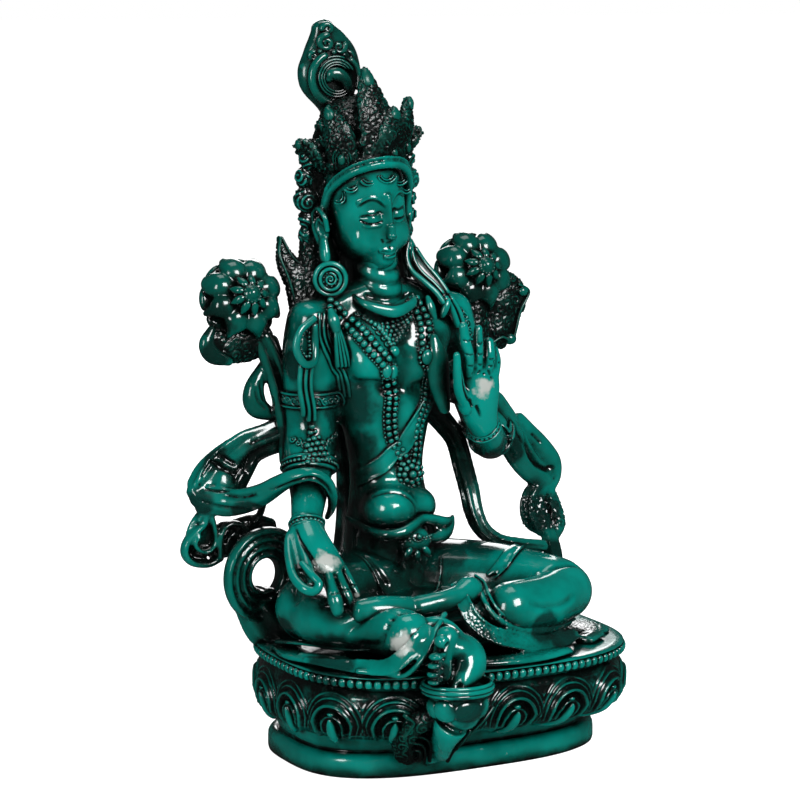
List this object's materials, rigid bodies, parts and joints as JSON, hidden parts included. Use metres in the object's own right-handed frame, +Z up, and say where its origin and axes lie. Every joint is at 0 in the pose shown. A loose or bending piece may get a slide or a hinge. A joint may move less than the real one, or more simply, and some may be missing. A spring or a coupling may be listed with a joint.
{
  "type": "tara figure",
  "caption": "Cast resin figure of a seated goddess on an oval lotus throne, one foot on a small lotus, with leaf crown, flowers at the shoulders, scarves and necklaces.",
  "frame": {"origin": "middle of the throne's outline, on the flat underside", "axes": "+Z up, the figure and the throne's front face -Y, the figure's right side is at -X"},
  "size_m": [0.1217, 0.0978, 0.2094],
  "materials": {
    "resin": "glossy teal resin with a dark wash in the hollows"
  },
  "bodies": {
    "root": {"tara_figure": "resin"}
  },
  "joints": []
}
